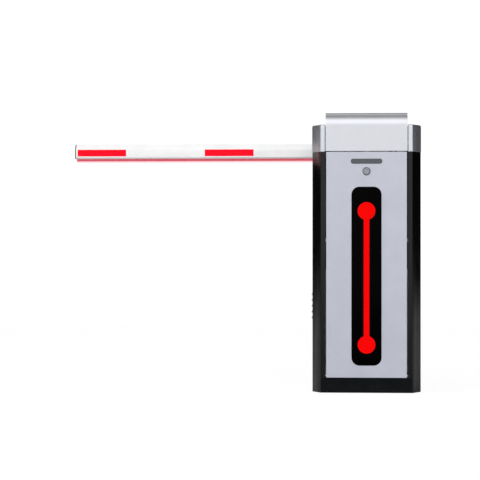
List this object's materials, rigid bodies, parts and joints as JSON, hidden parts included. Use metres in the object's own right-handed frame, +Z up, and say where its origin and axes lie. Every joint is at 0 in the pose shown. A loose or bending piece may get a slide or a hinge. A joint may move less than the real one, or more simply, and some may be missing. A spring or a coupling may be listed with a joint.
{
  "type": "parking barrier gate",
  "caption": "Floor-standing parking barrier: folded-sheet cabinet with lamp door and silver hood, holding a worm drive, crank linkage and balance spring that lift a lit boom.",
  "frame": {"origin": "centre of the base plate's underside, which is also the centre of the anchor bolt pattern, on the ground", "axes": "+Z up; the lamp door faces -Y; the closed boom points along -X; the boom hangs outside the rear face (+Y)"},
  "size_m": [1.29, 0.3845, 1],
  "materials": {
    "black_paint": "fine-textured matt black powder coat",
    "kick_paint": "satin blue-black powder coat",
    "rear_paint": "satin black powder coat",
    "cap_silver": "satin silver metallic paint",
    "hood_silver": "satin silver metallic paint",
    "door_silver": "satin silver-lilac metallic paint",
    "frame_paint": "grey primer paint",
    "zinc_steel": "zinc-plated sheet",
    "zinc_bolts": "bright zinc plate",
    "cast_iron": "painted casting",
    "bearing_steel": "ground bearing steel",
    "gearbox_cast": "blue-grey casting paint",
    "motor_cast": "dark grey casting paint",
    "black_plastic": "moulded black",
    "grey_plastic": "moulded light grey",
    "dark_plastic": "moulded dark grey",
    "cable_black": "black cable sheath",
    "rubber_black": "black rubber",
    "spring_steel": "oiled spring steel",
    "alu_fins": "bare extruded aluminium",
    "shaft_steel": "ground steel",
    "lever_steel": "machined and phosphated steel",
    "holder_paint": "black powder coat",
    "boom_white": "gloss white paint on aluminium",
    "boom_cap": "moulded black plastic",
    "led_red": "lit red lamp strip",
    "lip_clear": "translucent soft lip",
    "stripe_red": "retro-reflective red film",
    "wheel_bronze": "machined bronze",
    "wheel_red": "red moulded rim",
    "window_black": "polished smoked acrylic",
    "lamp_red": "lit red acrylic",
    "board_green": "solder mask",
    "badge_grey": "blank satin badge",
    "lock_chrome": "nickel-plated lock ring",
    "lock_steel": "nickel-plated plug and steel cam"
  },
  "bodies": {
    "cabinet": {"base_plate": "zinc_steel", "left_side_panel": "black_paint", "right_side_panel": "black_paint", "kick_plate": "kick_paint", "front_lintel": "black_paint", "rear_panel": "rear_paint", "left_shoulder": "cap_silver", "right_shoulder": "cap_silver", "hood": "hood_silver", "core_frame": "frame_paint", "front_mech_plate": "zinc_steel", "rear_mech_plate": "zinc_steel", "machine_bolts": "zinc_bolts", "bearing_housings": "cast_iron", "shaft_bearings": "bearing_steel", "gearbox_housing": "gearbox_cast", "gearbox_cover": "gearbox_cast", "motor_housing": "motor_cast", "motor_end_bell": "motor_cast", "motor_terminal_box": "black_plastic", "motor_cable": "cable_black", "stop_brackets": "zinc_bolts", "stop_buffers": "rubber_black", "balance_spring": "spring_steel", "spring_clevis": "zinc_bolts", "shaft_seal": "rubber_black", "device_plate": "zinc_steel", "controller_case": "grey_plastic", "controller_cover": "dark_plastic", "power_supply": "alu_fins", "panel_screws": "zinc_bolts", "door_hinge_pins": "shaft_steel"},
    "boom": {"main_shaft": "shaft_steel", "rocker_arm": "lever_steel", "spring_lever": "lever_steel", "spindle_flange": "lever_steel", "bearing_inner_races": "bearing_steel", "boom_holder": "holder_paint", "boom_clamp_plate": "holder_paint", "boom_bolts": "zinc_bolts", "boom_profile": "boom_white", "boom_end_caps": "boom_cap", "boom_light_strip": "led_red", "boom_buffer_lip": "lip_clear", "reflective_stripes": "stripe_red"},
    "crank": {"output_shaft": "shaft_steel", "worm_wheel": "wheel_bronze", "crank_arm": "lever_steel"},
    "rod": {"connecting_rod": "lever_steel", "rod_ends": "shaft_steel"},
    "rotor": {"worm_shaft": "shaft_steel", "handwheel": "wheel_red"},
    "door": {"door_panel": "door_silver", "led_window": "window_black", "led_diffuser": "lamp_red", "led_board": "board_green", "led_housing": "black_plastic", "name_badge": "badge_grey", "lock_body": "lock_chrome"},
    "lock": {"lock_plug": "lock_steel"}
  },
  "joints": [
    {"name": "boom_lift", "type": "hinge", "parent": "cabinet", "child": "boom", "pos_m": [0, 0, 0.877], "axis": [0, 1, 0], "range_deg": [0, 90], "deforming": ["balance_spring"]},
    {"name": "crank_turn", "type": "hinge", "parent": "cabinet", "child": "crank", "pos_m": [0, 0, 0.56], "axis": [0, 1, 0], "range_deg": [0, 90]},
    {"name": "rod_swing", "type": "hinge", "parent": "crank", "child": "rod", "pos_m": [-0.04243, 0, 0.51757], "axis": [0, 1, 0], "range_deg": [-90, 0]},
    {"name": "drive_spin", "type": "hinge", "parent": "cabinet", "child": "rotor", "pos_m": [-0.042, -0.012, 0.56], "axis": [0, 0, 1], "range_deg": [-3610, 10]},
    {"name": "door_tilt", "type": "hinge", "parent": "cabinet", "child": "door", "pos_m": [0, -0.1435, 0.061], "axis": [1, 0, 0], "range_deg": [0, 35]},
    {"name": "lock_turn", "type": "hinge", "parent": "door", "child": "lock", "pos_m": [0, -0.15, 0.79], "axis": [0, -1, 0], "range_deg": [0, 90]}
  ],
  "couplings": [
    {"joint": "crank_turn", "follows": "boom_lift", "ratio": 1},
    {"joint": "rod_swing", "follows": "boom_lift", "ratio": -1},
    {"joint": "drive_spin", "follows": "boom_lift", "ratio": -40}
  ]
}
